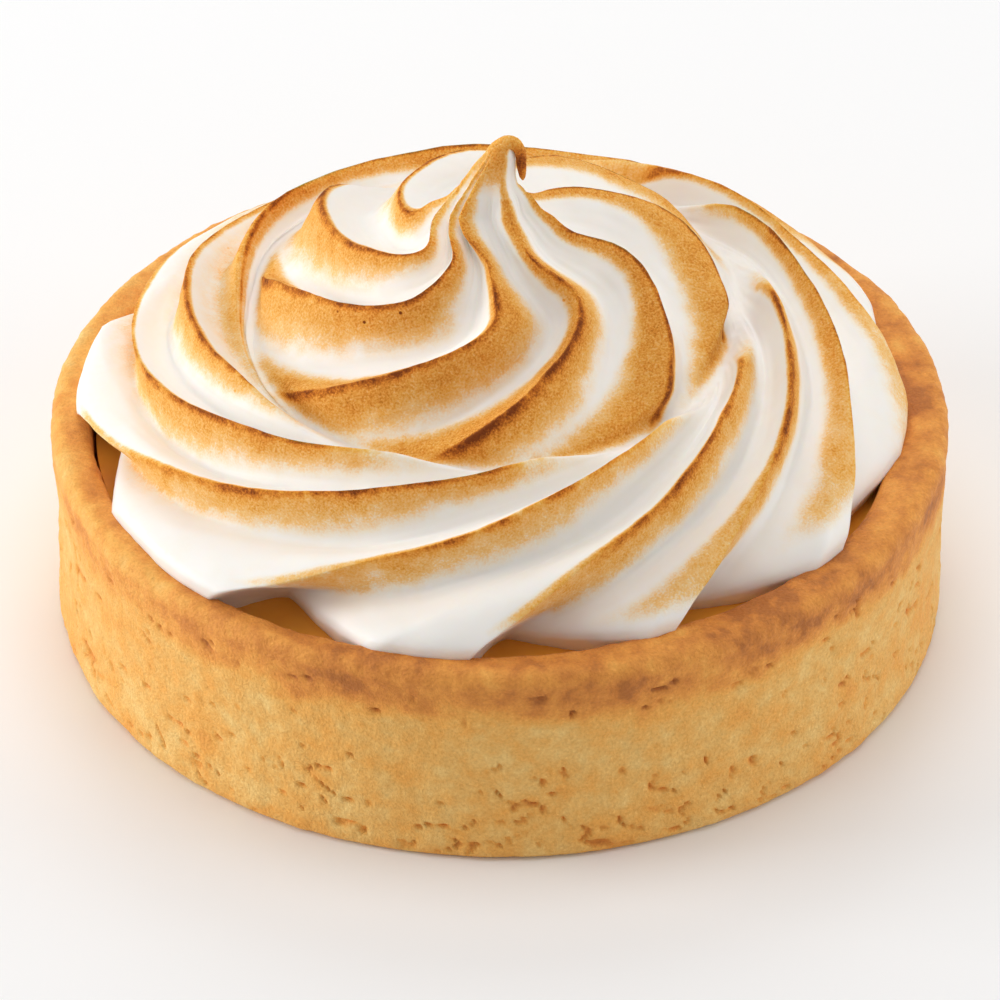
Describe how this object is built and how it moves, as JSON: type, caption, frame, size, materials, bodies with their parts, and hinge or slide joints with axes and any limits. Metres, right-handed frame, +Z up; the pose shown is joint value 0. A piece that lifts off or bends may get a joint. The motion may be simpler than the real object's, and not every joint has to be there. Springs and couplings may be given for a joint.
{
  "type": "lemon meringue tartlet",
  "caption": "Round lemon meringue tartlet: a straight-sided shortcrust case, lemon curd and a toasted, piped meringue swirl that ends in a drooping peak.",
  "frame": {"origin": "middle of the flat underside, on the axis of the case", "axes": "+Z up along the axis of the case, -Y towards the side shown, +X the way the tip of the peak droops"},
  "size_m": [0.08, 0.08, 0.0487],
  "materials": {
    "crust": "baked, fine-crumbed and matt",
    "curd": "set curd with a dull sheen",
    "meringue": "satin foam, toasted golden along its ridges"
  },
  "bodies": {
    "root": {"pastry_case": "crust", "lemon_curd": "curd", "meringue_swirl": "meringue"}
  },
  "joints": []
}
